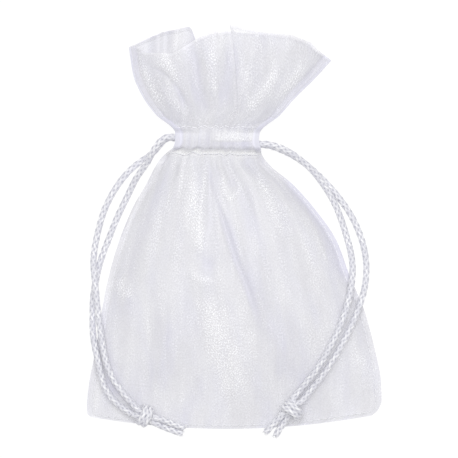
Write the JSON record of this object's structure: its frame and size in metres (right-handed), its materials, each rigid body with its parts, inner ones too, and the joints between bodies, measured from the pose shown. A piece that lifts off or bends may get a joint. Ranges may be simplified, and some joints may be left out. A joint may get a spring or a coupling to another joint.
{
  "type": "drawstring gift pouch",
  "caption": "Small sheer organza gift pouch with a gathered neck, a flared frill and braided drawcords on both sides, each ending in a knot.",
  "frame": {"origin": "middle of the pouch without its cords, on the flat surface that its back lies on", "axes": "+X to the right of the front face, +Y from the bottom seam to the frill, +Z out of the front face, away from the surface"},
  "size_m": [0.09, 0.1259, 0.0165],
  "materials": {
    "organza_front": "sheer shimmering organza, white with a pale lavender cast",
    "organza_back": "sheer shimmering organza, seen behind the front",
    "organza_facing": "turned-in organza hem, doubling the cloth",
    "sewing_thread": "fine white polyester thread",
    "satin_cord": "white braided satin cord"
  },
  "bodies": {
    "pouch": {"front_panel": "organza_front", "back_panel": "organza_back", "front_casing_facing": "organza_facing", "back_casing_facing": "organza_facing", "left_side_seam": "sewing_thread", "right_side_seam": "sewing_thread", "bottom_seam": "sewing_thread", "front_upper_casing_stitch": "sewing_thread", "front_lower_casing_stitch": "sewing_thread", "back_upper_casing_stitch": "sewing_thread", "back_lower_casing_stitch": "sewing_thread"},
    "left_draw": {"left_cord_in_casing": "satin_cord"},
    "left_loop": {"left_cord_outer_strand": "satin_cord", "left_cord_inner_strand": "satin_cord", "left_knot": "satin_cord", "left_tails": "satin_cord"},
    "right_draw": {"right_cord_in_casing": "satin_cord"},
    "right_loop": {"right_cord_outer_strand": "satin_cord", "right_cord_inner_strand": "satin_cord", "right_knot": "satin_cord", "right_tails": "satin_cord"}
  },
  "joints": [
    {"name": "left_pull", "type": "slide", "parent": "pouch", "child": "left_draw", "axis": [-1, 0, 0], "range_m": [0, 0.003]},
    {"name": "left_swing", "type": "hinge", "parent": "left_draw", "child": "left_loop", "pos_m": [-0.02, 0.027, 0.00625], "axis": [0, 0, -1], "range_deg": [0, 75]},
    {"name": "right_pull", "type": "slide", "parent": "pouch", "child": "right_draw", "axis": [1, 0, 0], "range_m": [0, 0.003]},
    {"name": "right_swing", "type": "hinge", "parent": "right_draw", "child": "right_loop", "pos_m": [0.009, 0.0249, 0.00625], "axis": [0, 0, 1], "range_deg": [0, 75]}
  ]
}
